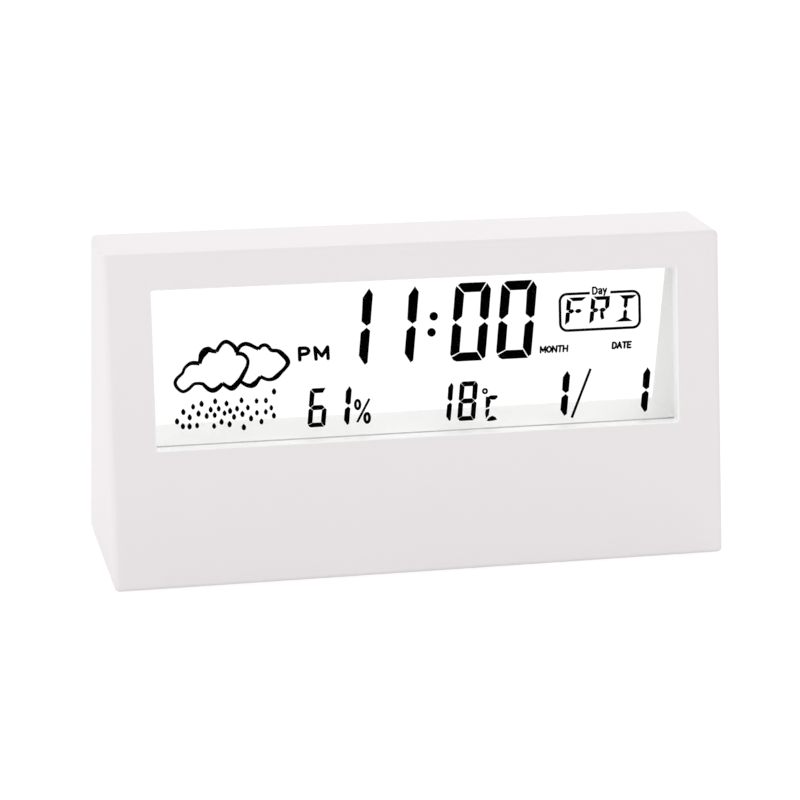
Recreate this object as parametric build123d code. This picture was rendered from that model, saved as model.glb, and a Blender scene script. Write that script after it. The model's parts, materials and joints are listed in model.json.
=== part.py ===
from build123d import *
import math
import os

# A desk clock with a see-through display for time, date, temperature, humidity and weather.
# The case is a wedge, deep at the bottom. The upper part of its front is a window with a
# transparent LCD, and a tunnel leads from the LCD to a flared opening in the back.
# The band under the window holds the main board, the battery bay, the buzzer and the key board.
# Millimetres. X runs to the right as seen from the front, Y to the back, Z up. The origin is the
# middle of the whole part's box, on the surface that the feet stand on.
# On a leaning face, a slope height is measured along the face from the case's bottom edge, and a
# depth is measured square to the face, into the case.

os.makedirs("parts", exist_ok=True)

# Case
case_width = 133.0
case_height = 69.35
bottom_depth = 44.8
top_depth = 20.4
front_lean_depth = 11.72
front_wall = 2.5
case_wall = 2.0
front_edge_radius = 1.2
back_edge_radius = 1.2
bottom_edge_radius = 0.8

# Clearances, and one overrun for all cuts
fit_gap = 0.15
running_gap = 0.3
thread_gap = 0.05
overrun = 1.0
touch = 0.001
half_way_share = 0.5

# Window in the front wall
band_height = 28.9
window_side_margin = 9.8
window_top_margin = 7.55
window_corner_radius = 0.4
window_chamfer = 0.25

# Display, from the front to the back
tape_thickness = 0.15
tape_width = 1.6
window_thickness = 1.0
polarizer_thickness = 0.2
polarizer_inset = 0.3
glass_thickness = 1.1
crystal_thickness = 0.1
seal_width = 1.7
glass_border = 1.2
ledge_height = 3.1
rib_thickness = 0.9

# Tunnel behind the display
tunnel_side_step = 1.3
tunnel_floor_step = 1.15
tunnel_ceiling_step = 0.6
tunnel_wall = 1.4
tunnel_corner_radius = 0.6
ear_thickness = 1.6
ear_height = 5.0
ear_gap = 0.7
ear_end_margin = 9.5

# Rear cover and the flared opening in it
cover_wall = 2.0
bezel_depth = 12.0
bezel_wall = 1.4
bezel_drop_height = 6.7
rear_flange_width = 2.0
hook_width = 8.0
hook_height = 0.9
hook_thickness = 1.0
hook_spacing = 42.0

# Screws and what they go into
shank_radius = 1.0
head_radius = 1.9
head_height = 1.3
head_edge_radius = 0.35
recess_width = 0.5
recess_length = 2.2
recess_depth = 0.7
short_screw = 4.0
long_screw = 7.0
boss_radius = 2.2
post_radius = 2.6
post_inset = 3.3
post_height = 7.5
cover_post_length = 8.0
cover_post_height = 17.0
web_thickness = 1.8

# Main board
connector_depth = 2.5
connector_height = 2.0
connector_end_inset = 2.0
connector_low_gap = 0.35
board_thickness = 1.6
board_side_gap = 6.5
board_floor_gap = 0.4
board_screw_side = 8.0
board_screw_low = 4.2
board_screw_high = 7.0
blob_radius = 5.0
blob_height = 1.6
blob_gap_share = 0.15
watch_crystal_radius = 1.0
watch_crystal_length = 6.2
watch_crystal_edge_radius = 0.3
watch_crystal_gap_share = 0.088
chip_length = 2.0
chip_width = 1.3
chip_height = 0.8
chip_pitch = 3.6
chip_offset = -20.0

# Base tray
base_thickness = 2.4
foot_radius = 3.2
foot_stand_height = 0.8
foot_recess = 0.6
foot_edge_radius = 0.3
foot_side_inset = 4.6
foot_end_inset = 5.0
base_screw_offset = 9.4

# Battery bay, cells and contacts: two cells of 10.5 by 44.5
cell_diameter = 10.5
cell_length = 44.5
cell_nub_radius = 1.9
cell_nub_length = 1.2
cell_edge_radius = 0.5
cell_gap = 0.3
bay_side_inset = 8.7
bay_wall = 1.3
bay_back_gap = 1.5
contact_thickness = 0.4
contact_width = 8.6
tab_width = 2.4
tab_height = 3.4
spring_length = 4.0
spring_wire_radius = 0.25
spring_base_radius = 3.4
spring_tip_radius = 1.7
spring_turns = 4

# Battery door
door_thickness = 2.0
door_tongue = 1.0
door_tongue_low = 0.8
door_tongue_thickness = 0.8
grip_width = 1.0
grip_depth = 0.5
grip_pitch = 2.4
grip_length = 16.0
grip_count = 4
grip_inset = 3.5

# Key board, switches and buttons
button_names = ["mode", "set", "up", "down"]
button_side_share = 0.19
button_pitch_share = 0.124
button_radius_share = 0.353
button_flange_share = 0.46
button_stem_share = 0.176
button_proud_height = 1.0
button_edge_radius = 0.5
button_flange_thickness = 0.9
button_travel_length = 0.5
button_height = 10.5
switch_size_share = 0.706
switch_height = 3.5
switch_edge_chamfer = 0.3
plunger_height = 0.8
plunger_length = 2.2
key_board_depth = 8.5
key_board_thickness = 1.2
key_board_low = 5.5
key_board_high = 20.5
key_board_end_share = 0.08
key_post_drop_height = 2.7

# Sensors and their vents
vent_count = 5
vent_width = 1.2
vent_length = 9.5
vent_pitch_share = 0.217
vent_clearance_share = 0.175
vent_height = 12.0
sensor_width = 5.0
sensor_length = 9.0
sensor_thickness = 0.8
thermistor_radius = 1.1
thermistor_stand_height = 1.8
thermistor_leg_radius = 0.25
thermistor_leg_pitch = 1.0
thermistor_offset = 4.4

# Buzzer
buzzer_radius = 9.0
buzzer_plate_thickness = 0.25
buzzer_disc_radius = 6.5
buzzer_disc_thickness = 0.2
buzzer_ring_wall = 1.0
buzzer_ring_height = 1.6
buzzer_seat_width = 0.9
buzzer_seat_height = 0.8
buzzer_offset = 30.0
sound_hole_radius = 0.8
sound_hole_circle = 3.6
sound_hole_count = 6

# Leads and ribbon
lead_radius = 0.6
lead_reach_length = 4.2
lead_step_width = 3.0
lead_bend_share = 0.45
buzzer_lead_radius = 0.45
buzzer_lead_height = 5.0
disc_lead_offset = 5.0
ribbon_width = 14.0
ribbon_thickness = 0.6
ribbon_stub_length = 5.0
ribbon_bend_share = 0.4

# Worked out: the case and its leaning faces
case_bottom = foot_stand_height
case_top = case_bottom + case_height
ceiling = case_top - case_wall
inner_width = case_width - 2 * case_wall
back_lean_depth = bottom_depth - top_depth - front_lean_depth
front_slope = math.hypot(case_height, front_lean_depth)
back_slope = math.hypot(case_height, back_lean_depth)
front_rise_share = case_height / front_slope
front_lean_share = front_lean_depth / front_slope
back_rise_share = case_height / back_slope
back_lean_share = back_lean_depth / back_slope
front = Plane(
    origin=(0, -bottom_depth / 2, case_bottom),
    x_dir=(1, 0, 0),
    z_dir=(0, -case_height, front_lean_depth),
)
back = Plane(
    origin=(0, bottom_depth / 2, case_bottom),
    x_dir=(1, 0, 0),
    z_dir=(0, -case_height, -back_lean_depth),
)

# Worked out: the display's depths behind the front face
window_near = front_wall + tape_thickness
front_polarizer_near = window_near + window_thickness
front_glass_near = front_polarizer_near + polarizer_thickness
crystal_near = front_glass_near + glass_thickness
rear_glass_near = crystal_near + crystal_thickness
rear_polarizer_near = rear_glass_near + glass_thickness
display_far = rear_polarizer_near + polarizer_thickness
board_near = crystal_near + connector_depth
board_far = board_near + board_thickness
ear_near = display_far + ear_gap

# Worked out: the window, the tunnel and the glass
window_width = case_width - 2 * window_side_margin
window_low = case_bottom + band_height
window_high = case_top - window_top_margin
tunnel_width = window_width + 2 * tunnel_side_step
tunnel_floor = window_low - tunnel_floor_step
tunnel_ceiling = window_high + tunnel_ceiling_step
glass_width = tunnel_width + 2 * glass_border


def front_y(height, depth):
    """Y of the plane that lies depth behind the front face, at a height above the floor."""
    lean = (height - case_bottom) * front_lean_depth / case_height
    return -bottom_depth / 2 + lean + depth / front_rise_share


def back_y(height, depth):
    """Y of the plane that lies depth inside the back face, at a height above the floor."""
    lean = (height - case_bottom) * back_lean_depth / case_height
    return bottom_depth / 2 - lean - depth / back_rise_share


def front_slope_at(height, depth):
    """Slope height on the front face of a point at this height and depth."""
    return (height - case_bottom + depth * front_lean_share) / front_rise_share


def back_slope_at(height, depth):
    """Slope height on the back face of a point at this height and depth."""
    return (height - case_bottom + depth * back_lean_share) / back_rise_share


def front_place(x, slope_height, depth):
    return front * Pos(x, slope_height, -depth)


def back_place(x, slope_height, depth):
    return back * Pos(x, slope_height, depth)


def block(place, width, low, high, near, far, x=0):
    """A block square to a leaning face, from one slope height and depth to another."""
    return place(x, (low + high) / 2, (near + far) / 2) * Box(width, high - low, far - near)


def rod(place, radius, near, far, x, slope_height):
    """A round bar square to a leaning face."""
    return place(x, slope_height, (near + far) / 2) * Cylinder(radius, far - near)


def upright(radius, low, high, x, y):
    """A round bar that stands upright."""
    return Pos(x, y, (low + high) / 2) * Cylinder(radius, high - low)


def brick(x_range, y_range, z_range):
    """A block from one corner to the other."""
    spans = [x_range, y_range, z_range]
    sizes = [high - low for low, high in spans]
    middles = [(low + high) / 2 for low, high in spans]
    return Pos(*middles) * Box(*sizes)


def wedge(points, width, x=0):
    """A prism along X from points given as (y, z)."""
    face = make_face(Polyline(*points, close=True))
    return Pos(x, 0, 0) * extrude(Plane.YZ * face, amount=width / 2, both=True)


def screw(length):
    """A pan-head screw that points along +Z, with its head's seat at the origin."""
    head = Pos(0, 0, -head_height / 2) * Cylinder(head_radius, head_height)
    head = fillet(head.edges().sort_by(Axis.Z)[0], head_edge_radius)
    for width, depth in ((recess_length, recess_width), (recess_width, recess_length)):
        head -= Pos(0, 0, recess_depth / 2 - head_height) * Box(width, depth, recess_depth)
    return head + Pos(0, 0, length / 2) * Cylinder(shank_radius, length)


glass_low = front_slope_at(tunnel_floor, display_far) - glass_border
glass_high = front_slope_at(tunnel_ceiling, display_far) + glass_border
front_glass_low = glass_low - ledge_height
connector_low = front_glass_low + connector_low_gap
connector_high = connector_low + connector_height
base_top = case_bottom + base_thickness
board_low = front_slope_at(base_top + board_floor_gap, board_far)
board_high = connector_high + board_floor_gap
board_width = inner_width - 2 * board_side_gap
board_screw_x = board_width / 2 - board_screw_side
post_x = inner_width / 2 - post_inset
tunnel_screw_x = (inner_width / 2 + tunnel_width / 2 + tunnel_wall) / 2
foot_x = inner_width / 2 - foot_side_inset
foot_front = front_y(case_bottom, front_wall) + foot_end_inset
foot_back = back_y(case_bottom, 0) - foot_end_inset
cover_low = base_top + fit_gap
cover_high = ceiling - fit_gap
hole_radius = shank_radius + thread_gap

board_screws = [
    (side * board_screw_x, height)
    for side in (-1, 1)
    for height in (board_low + board_screw_low, board_high - board_screw_high)
]
tunnel_screws = [
    (side * tunnel_screw_x, height)
    for side in (-1, 1)
    for height in (glass_low + ear_end_margin, glass_high - ear_end_margin)
]
cover_screws = [(side * post_x, cover_post_height) for side in (-1, 1)]
base_screws = [
    (side * post_x, y)
    for side in (-1, 1)
    for y in (foot_front + base_screw_offset, foot_back - base_screw_offset)
]
feet = [(side * foot_x, y) for side in (-1, 1) for y in (foot_front, foot_back)]

# Worked out: the battery bay, from the left wall and from the back
bay_length = cell_length + spring_length + 2 * contact_thickness
bay_left = -inner_width / 2 + bay_side_inset + bay_wall
bay_right = bay_left + bay_length
cell_middle_z = base_top + cell_gap + cell_diameter / 2
bay_roof = cell_middle_z + cell_diameter / 2 + cell_gap
bay_top = bay_roof + bay_wall
bay_back = back_y(bay_top, cover_wall) - bay_back_gap - bay_wall
bay_front = bay_back - 2 * cell_diameter - 3 * cell_gap
rear_cell_y = bay_back - cell_gap - cell_diameter / 2
front_cell_y = bay_front + cell_gap + cell_diameter / 2
tab_top = bay_top + tab_height
door_front = bay_front + running_gap
door_width = bay_length - 2 * running_gap
door_middle = (bay_left + bay_right) / 2

# Worked out: leads, chips and keys, as shares of the room between the bay and the right wall
key_room = inner_width / 2 - bay_right - bay_wall
red_lead_x = bay_right + lead_reach_length
black_lead_x = red_lead_x + lead_step_width
watch_crystal_x = black_lead_x + key_room * watch_crystal_gap_share
blob_x = watch_crystal_x + key_room * blob_gap_share
button_pitch = key_room * button_pitch_share
button_radius = button_pitch * button_radius_share
button_flange_radius = button_pitch * button_flange_share
button_stem_radius = button_pitch * button_stem_share
switch_size = button_pitch * switch_size_share
last_button_x = inner_width / 2 - key_room * button_side_share
button_x = [last_button_x - index * button_pitch for index in range(len(button_names))]
vent_clearance = key_room * vent_clearance_share
vent_pitch = vent_clearance * vent_pitch_share
vent_x = button_x[-1] - vent_clearance
key_board_right = button_x[0] + key_room * key_board_end_share
key_board_left = vent_x - key_room * key_board_end_share
key_board_far = key_board_depth + key_board_thickness
switch_near = key_board_depth - switch_height
plunger_near = switch_near - plunger_height
flange_near = cover_wall + running_gap
key_screw_height = key_board_high - key_post_drop_height
key_screws = [(x - button_pitch / 2, key_screw_height) for x in (button_x[-1], button_x[0])]
buzzer_y = (foot_front + foot_back) / 2
buzzer_seat = base_top + buzzer_seat_height
buzzer_top = buzzer_seat + buzzer_plate_thickness


def facing_plane(low, high):
    """An upright plane that faces the front, centred between two heights."""
    return Plane(origin=(0, 0, (low + high) / 2), x_dir=(1, 0, 0), z_dir=(0, -1, 0))


def case_edges(shape, plane, skip_bottom):
    """Edges of a shape that lie in a leaning plane."""
    found = []
    for edge in shape.edges():
        middle = edge @ half_way_share
        start = edge @ 0
        on_plane = max(abs(plane.to_local_coords(point).Z) for point in (middle, start)) < touch
        low_edge = abs(middle.Z - case_bottom) < touch
        if on_plane and not (low_edge and skip_bottom):
            found.append(edge)
    return found


def case_block():
    """The solid wedge with its edges rounded."""
    outline = [
        (front_y(case_bottom, 0), case_bottom),
        (front_y(case_top, 0), case_top),
        (back_y(case_top, 0), case_top),
        (back_y(case_bottom, 0), case_bottom),
    ]
    shape = wedge(outline, case_width)
    rear = case_edges(shape, back, skip_bottom=False)
    bottom = shape.edges().group_by(Axis.Z)[0]
    rounded = [edge for edge in shape.edges() if edge not in rear and edge not in bottom]
    shape = fillet(rounded, front_edge_radius)
    shape = fillet(case_edges(shape, back, skip_bottom=True), back_edge_radius)
    return fillet(shape.faces().sort_by(Axis.Z)[0].edges(), bottom_edge_radius)


def case_cavity():
    """The space inside the case's walls, open at the back and below."""
    low = case_bottom - overrun
    points = [
        (front_y(low, front_wall), low),
        (front_y(ceiling, front_wall), ceiling),
        (back_y(ceiling, -overrun), ceiling),
        (back_y(low, -overrun), low),
    ]
    return wedge(points, inner_width)


def window_cut():
    """The window's opening, cut level through the front wall."""
    face = RectangleRounded(window_width, window_high - window_low, window_corner_radius)
    return extrude(facing_plane(window_low, window_high) * face, amount=bottom_depth, both=True)


def window_rim(shape):
    """Edges of the window in the front face."""
    half_width = window_width / 2 + touch
    rim = []
    for edge in shape.edges():
        middle = edge @ half_way_share
        on_face = abs(front.to_local_coords(middle).Z) < touch
        in_height = window_low - touch < middle.Z < window_high + touch
        if on_face and in_height and abs(middle.X) < half_width:
            rim.append(edge)
    return rim


def display_rib():
    """The frame of ribs on the front wall that locates the glass, with the bar behind its ledge."""
    width = glass_width + 2 * fit_gap
    low = front_glass_low - fit_gap
    high = glass_high + fit_gap
    frame = block(
        front_place,
        width + 2 * rib_thickness,
        low - rib_thickness,
        high + rib_thickness,
        front_wall - touch,
        crystal_near,
    )
    frame -= block(front_place, width, low, high, 0, crystal_near + overrun)
    bar_high = glass_low - running_gap
    bar_near = front_wall - touch
    bar = block(front_place, window_width, front_glass_low, bar_high, bar_near, front_glass_near)
    return frame + bar


def side_web(place, x, slope_height, near, far):
    """A web that ties a boss to the side wall beside it."""
    reach = inner_width / 2 + touch - abs(x)
    middle = math.copysign(abs(x) + reach / 2, x)
    low = slope_height - web_thickness / 2
    return block(place, reach, low, low + web_thickness, near, far, middle)


def make_front_case():
    case = case_block() - case_cavity() - window_cut()
    case = chamfer(window_rim(case), window_chamfer)
    case += display_rib()
    for x, height in board_screws:
        case += rod(front_place, boss_radius, front_wall - touch, board_near, x, height)
    for x, height in tunnel_screws:
        case += rod(front_place, boss_radius, front_wall - touch, ear_near, x, height)
        case += side_web(front_place, x, height, front_wall - touch, ear_near)
    cover_post_far = cover_wall + cover_post_length
    for x, height in cover_screws:
        case += rod(back_place, post_radius, cover_wall, cover_post_far, x, height)
        case += side_web(back_place, x, height, cover_wall, cover_post_far)
    for x, y in base_screws:
        case += upright(post_radius, base_top, base_top + post_height, x, y)
        wall = math.copysign(inner_width / 2 + touch, x)
        y_range = (y - web_thickness / 2, y + web_thickness / 2)
        case += brick(sorted((x, wall)), y_range, (base_top, base_top + post_height))
    for x, height in board_screws:
        case -= rod(front_place, hole_radius, front_wall + overrun, board_near + overrun, x, height)
    for x, height in tunnel_screws:
        case -= rod(front_place, hole_radius, front_wall + overrun, ear_near + overrun, x, height)
    for x, height in cover_screws:
        case -= rod(back_place, hole_radius, 0, long_screw + cover_wall, x, height)
    for x, y in base_screws:
        case -= upright(hole_radius, case_bottom, case_bottom + long_screw + cover_wall, x, y)
    for index in (-1, 0, 1):
        case -= hook(index * hook_spacing, fit_gap)
    return case


def hook(x, grow):
    """A hook on the cover's top edge, or with grow the pocket that takes it."""
    near = (cover_wall - hook_thickness) / 2 - grow
    far = near + hook_thickness + 2 * grow
    low = cover_high - overrun
    high = ceiling + hook_height + grow
    points = [
        (back_y(low, near), low),
        (back_y(high, near), high),
        (back_y(high, far), high),
        (back_y(low, far), low),
    ]
    return wedge(points, hook_width + 2 * grow, x)


def flare(near, far, grow):
    """The flared space between the tunnel's end and the back face, or its outside with grow."""
    sections = []
    for depth in (near, far):
        share = depth / bezel_depth
        opening_width = inner_width - 2 * rear_flange_width
        width = opening_width + share * (tunnel_width - opening_width) + 2 * grow
        floor = back_slope_at(tunnel_floor, bezel_depth) - bezel_drop_height * (1 - share) - grow
        roof = back_slope_at(tunnel_ceiling, bezel_depth) + grow
        outline = RectangleRounded(width, roof - floor, tunnel_corner_radius + grow)
        sections.append(back_place(0, (floor + roof) / 2, depth) * outline)
    return loft(sections, ruled=True)


def vent_slot(x):
    """One upright slot through the rear cover."""
    place = back_place(x, vent_height, 0)
    slot = SlotOverall(vent_length, vent_width, rotation=90)
    return extrude(place * slot, amount=cover_wall + overrun, both=True)


def make_rear_cover():
    points = [
        (back_y(cover_low, 0), cover_low),
        (back_y(cover_high, 0), cover_high),
        (back_y(cover_high, cover_wall), cover_high),
        (back_y(cover_low, cover_wall), cover_low),
    ]
    cover = wedge(points, inner_width - 2 * fit_gap)
    cover += flare(0, bezel_depth, bezel_wall)
    cover -= flare(-overrun, bezel_depth + overrun, 0)
    for index in (-1, 0, 1):
        cover += hook(index * hook_spacing, 0)
    for x, height in key_screws:
        cover += rod(back_place, boss_radius, cover_wall - touch, key_board_depth, x, height)
        cover -= rod(back_place, hole_radius, cover_wall + overrun, key_board_depth + overrun, x, height)
    button_hole = button_radius + running_gap
    for x in button_x:
        cover -= rod(back_place, button_hole, -overrun, cover_wall + overrun, x, button_height)
    for index in range(vent_count):
        cover -= vent_slot(vent_x + (index - (vent_count - 1) / 2) * vent_pitch)
    for x, height in cover_screws:
        cover -= rod(back_place, hole_radius, -overrun, cover_wall + overrun, x, height)
        cover -= rod(back_place, head_radius + fit_gap, -overrun, head_height, x, height)
    return cover


def make_display_tunnel():
    height = tunnel_ceiling - tunnel_floor
    place = facing_plane(tunnel_floor, tunnel_ceiling)
    outside = RectangleRounded(
        tunnel_width + 2 * tunnel_wall, height + 2 * tunnel_wall, tunnel_corner_radius + tunnel_wall
    )
    inside = RectangleRounded(tunnel_width, height, tunnel_corner_radius)
    tunnel = extrude(place * outside, amount=bottom_depth, both=True)
    for x, slope_height in tunnel_screws:
        reach = inner_width / 2 - running_gap - tunnel_width / 2 - tunnel_wall / 2
        middle = math.copysign(tunnel_width / 2 + tunnel_wall / 2 + reach / 2, x)
        low = slope_height - ear_height / 2
        ear_far = ear_near + ear_thickness
        tunnel += block(front_place, reach, low, low + ear_height, ear_near, ear_far, middle)
    tunnel -= extrude(place * inside, amount=bottom_depth + overrun, both=True)
    low = tunnel_floor - 2 * tunnel_wall
    high = tunnel_ceiling + 2 * tunnel_wall
    between = [
        (front_y(low, display_far), low),
        (front_y(high, display_far), high),
        (back_y(high, bezel_depth), high),
        (back_y(low, bezel_depth), low),
    ]
    tunnel = tunnel & wedge(between, inner_width)
    for x, slope_height in tunnel_screws:
        hole_far = ear_near + ear_thickness + overrun
        tunnel -= rod(front_place, hole_radius, ear_near - overrun, hole_far, x, slope_height)
    return tunnel


def glass_sheet(low, near, thickness, inset):
    """A sheet of the display, as high and wide as the glass less an inset."""
    width = glass_width - 2 * inset
    return block(front_place, width, low + inset, glass_high - inset, near, near + thickness)


def ring_sheet(near, thickness, wall):
    """A thin frame along the edge of the glass."""
    sheet = glass_sheet(glass_low, near, thickness, 0)
    hole = block(
        front_place,
        glass_width - 2 * wall,
        glass_low + wall,
        glass_high - wall,
        near - overrun,
        near + thickness + overrun,
    )
    return sheet - hole


def make_window_tape():
    return ring_sheet(front_wall, tape_thickness, tape_width)


def make_crystal_layer():
    return glass_sheet(glass_low, crystal_near, crystal_thickness, seal_width)


def make_connector():
    width = window_width - 2 * connector_end_inset
    return block(front_place, width, connector_low, connector_high, crystal_near, board_near)


def make_main_board():
    board = block(front_place, board_width, board_low, board_high, board_near, board_far)
    for x, height in board_screws:
        board -= rod(front_place, hole_radius, board_near - overrun, board_far + overrun, x, height)
    return board


def make_chip_blob():
    """The drop of epoxy over the chip: a cap of a sphere."""
    sphere_radius = (blob_radius**2 + blob_height**2) / (2 * blob_height)
    middle = (board_low + board_high) / 2
    ball = front_place(blob_x, middle, board_far + blob_height - sphere_radius) * Sphere(sphere_radius)
    size = 2 * blob_radius + overrun
    half = size / 2
    top = board_far + blob_height
    return ball & block(front_place, size, middle - half, middle + half, board_far, top, blob_x)


def make_watch_crystal():
    middle = (board_low + board_high) / 2
    can = Cylinder(watch_crystal_radius, watch_crystal_length)
    can = fillet(can.edges().sort_by(Axis.Z)[-1], watch_crystal_edge_radius)
    lie_down = Rot(90, 0, 0)
    return front_place(watch_crystal_x, middle, board_far + watch_crystal_radius) * lie_down * can


def make_chip_capacitors():
    chips = []
    middle = (board_low + board_high) / 2
    top = board_far + chip_height
    for index in (-1, 0, 1):
        for row in (-1, 1):
            x = chip_offset + index * chip_pitch / 2 * row
            low = middle + (2 * index + row / 2) * chip_pitch / 2
            chips.append(block(front_place, chip_length, low, low + chip_width, board_far, top, x))
    return chips


def make_base_tray():
    points = [
        (front_y(case_bottom, front_wall) + fit_gap, case_bottom),
        (front_y(base_top, front_wall) + fit_gap, base_top),
        (back_y(base_top, 0), base_top),
        (back_y(case_bottom, 0), case_bottom),
    ]
    tray = wedge(points, inner_width - 2 * fit_gap)
    outer_x = (bay_left - bay_wall, bay_right + bay_wall)
    outer_y = (bay_front - bay_wall, bay_back + bay_wall)
    tray += brick(outer_x, outer_y, (base_top - touch, bay_top))
    tray -= brick((bay_left, bay_right), (bay_front, bay_back), (case_bottom - overrun, bay_roof))
    tray -= brick((bay_left, bay_right), (bay_front, bottom_depth), (case_bottom - overrun, base_top))
    groove = door_tongue + running_gap
    groove_low = case_bottom + door_tongue_low - running_gap
    groove_high = case_bottom + door_tongue_low + door_tongue_thickness + running_gap
    groove_x = (bay_left - groove + running_gap, bay_right + groove - running_gap)
    tray -= brick(groove_x, (bay_front, bottom_depth), (groove_low, groove_high))
    tab_half = tab_width / 2 + fit_gap
    for y in (front_cell_y, rear_cell_y):
        slot_x = (bay_right - contact_thickness - fit_gap, bay_right)
        tray -= brick(slot_x, (y - tab_half, y + tab_half), (bay_roof - overrun, bay_top + overrun))
    tray += buzzer_ring()
    for x, y in base_screws:
        tray -= upright(hole_radius, case_bottom - overrun, base_top + overrun, x, y)
        tray -= upright(head_radius + fit_gap, case_bottom - overrun, case_bottom + head_height, x, y)
    for x, y in feet:
        tray -= upright(foot_radius + thread_gap, case_bottom - overrun, case_bottom + foot_recess, x, y)
    for x, y in sound_holes():
        tray -= upright(sound_hole_radius, case_bottom - overrun, base_top + overrun, x, y)
    return tray


def buzzer_ring():
    """The stepped ring that the buzzer's plate lies in."""
    inner = buzzer_radius + fit_gap
    outer = inner + buzzer_ring_wall
    ring = upright(outer, base_top - touch, base_top + buzzer_ring_height, buzzer_offset, buzzer_y)
    ring -= upright(inner, buzzer_seat, base_top + buzzer_ring_height + overrun, buzzer_offset, buzzer_y)
    seat_inner = inner - buzzer_seat_width
    return ring - upright(seat_inner, base_top, buzzer_seat + overrun, buzzer_offset, buzzer_y)


def sound_holes():
    """Centres of the holes under the buzzer."""
    centres = [(buzzer_offset, buzzer_y)]
    for index in range(sound_hole_count):
        angle = 2 * math.pi * index / sound_hole_count
        x = buzzer_offset + sound_hole_circle * math.cos(angle)
        centres.append((x, buzzer_y + sound_hole_circle * math.sin(angle)))
    return centres


def make_battery_door():
    door_top = case_bottom + door_thickness
    points = [
        (door_front, case_bottom),
        (door_front, door_top),
        (back_y(door_top, 0), door_top),
        (back_y(case_bottom, 0), case_bottom),
    ]
    door = wedge(points, door_width, door_middle)
    low = case_bottom + door_tongue_low
    high = low + door_tongue_thickness
    tongue = [
        (door_front, low),
        (door_front, high),
        (back_y(high, 0), high),
        (back_y(low, 0), low),
    ]
    door += wedge(tongue, door_width + 2 * door_tongue, door_middle)
    for index in range(grip_count):
        y = back_y(case_bottom, 0) - grip_inset - index * grip_pitch
        groove_x = (door_middle - grip_length / 2, door_middle + grip_length / 2)
        door -= brick(groove_x, (y - grip_width, y), (case_bottom - overrun, case_bottom + grip_depth))
    return door


def make_cell(y, turned):
    """One cell along X, with its nub at the right, or at the left when turned."""
    can_length = cell_length - cell_nub_length
    can = Cylinder(cell_diameter / 2, can_length)
    can = fillet(can.edges().filter_by(GeomType.CIRCLE), cell_edge_radius)
    nub = Pos(0, 0, can_length / 2 + cell_nub_length / 2) * Cylinder(cell_nub_radius, cell_nub_length)
    cell = Pos(0, 0, -cell_nub_length / 2) * (can + nub)
    near = contact_thickness + cell_length / 2
    x = bay_left + near if turned else bay_right - near
    return Pos(x, y, cell_middle_z) * Rot(0, -90 if turned else 90, 0) * cell


def contact_plate(wall_x, inward, y_low, y_high):
    """A contact plate against an end wall of the bay."""
    x_range = sorted((wall_x, wall_x + inward * contact_thickness))
    return brick(x_range, (y_low, y_high), (base_top + cell_gap, bay_roof - cell_gap))


def contact_tab(y):
    """The solder tab that goes up through the roof of the bay."""
    x_range = (bay_right - contact_thickness, bay_right)
    return brick(x_range, (y - tab_width / 2, y + tab_width / 2), (bay_roof - overrun, tab_top))


def make_terminal(y):
    half = contact_width / 2
    return contact_plate(bay_right, -1, y - half, y + half) + contact_tab(y)


def make_bridge_contact():
    half = contact_width / 2
    return contact_plate(bay_left, 1, front_cell_y - half, rear_cell_y + half)


def make_spring(y, at_right):
    """A conical spring between a contact plate and a cell's flat end."""
    height = spring_length - 2 * (spring_wire_radius + thread_gap)
    cone = math.degrees(math.atan((spring_base_radius - spring_tip_radius) / height))
    coil = Helix(height / spring_turns, height, spring_base_radius, cone_angle=-cone)
    wire = Plane(origin=coil @ 0, z_dir=coil % 0) * Circle(spring_wire_radius)
    spring = Pos(0, 0, spring_wire_radius + thread_gap) * sweep(wire, path=coil, is_frenet=True)
    plate = bay_right - contact_thickness if at_right else bay_left + contact_thickness
    return Pos(plate, y, cell_middle_z) * Rot(0, -90 if at_right else 90, 0) * spring


def make_button(x):
    """A push button: its cap, the flange that keeps it in and the stem that meets the switch."""
    cap = rod(back_place, button_radius, -button_proud_height, flange_near, x, button_height)
    top = back_place(x, button_height, -button_proud_height).position
    edge = min(cap.edges().filter_by(GeomType.CIRCLE), key=lambda each: (each.arc_center - top).length)
    cap = fillet(edge, button_edge_radius)
    flange_far = flange_near + button_flange_thickness
    cap += rod(back_place, button_flange_radius, flange_near - touch, flange_far, x, button_height)
    return cap + rod(back_place, button_stem_radius, flange_far - touch, plunger_near, x, button_height)


def make_plunger(x):
    plunger_far = plunger_near + plunger_length
    return rod(back_place, button_stem_radius, plunger_near, plunger_far, x, button_height)


def make_key_switches():
    switches = []
    half = switch_size / 2
    bore_radius = button_stem_radius + running_gap
    bore_far = plunger_near + plunger_length + 2 * button_travel_length
    for x in button_x:
        low = button_height - half
        body = block(back_place, switch_size, low, low + switch_size, switch_near, key_board_depth, x)
        corners = [edge for edge in body.edges() if abs(edge.length - switch_height) < touch]
        body = chamfer(corners, switch_edge_chamfer)
        bore = rod(back_place, bore_radius, switch_near - overrun, bore_far, x, button_height)
        switches.append(body - bore)
    return switches


def make_key_board():
    width = key_board_right - key_board_left
    middle = (key_board_left + key_board_right) / 2
    near = key_board_depth
    board = block(back_place, width, key_board_low, key_board_high, near, key_board_far, middle)
    for x, height in key_screws:
        board -= rod(back_place, hole_radius, near - overrun, key_board_far + overrun, x, height)
    return board


def make_humidity_sensor():
    low = vent_height - sensor_length / 2
    near = key_board_depth - sensor_thickness
    return block(back_place, sensor_width, low, low + sensor_length, near, key_board_depth, vent_x)


def make_thermistor():
    """The bead on its two legs."""
    x = vent_x + thermistor_offset
    near = key_board_depth - thermistor_stand_height
    bead = back_place(x, vent_height, near) * Sphere(thermistor_radius)
    for side in (-1, 1):
        leg_x = x + side * thermistor_leg_pitch / 2
        bead += rod(back_place, thermistor_leg_radius, near, key_board_depth, leg_x, vent_height)
    return bead


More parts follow.
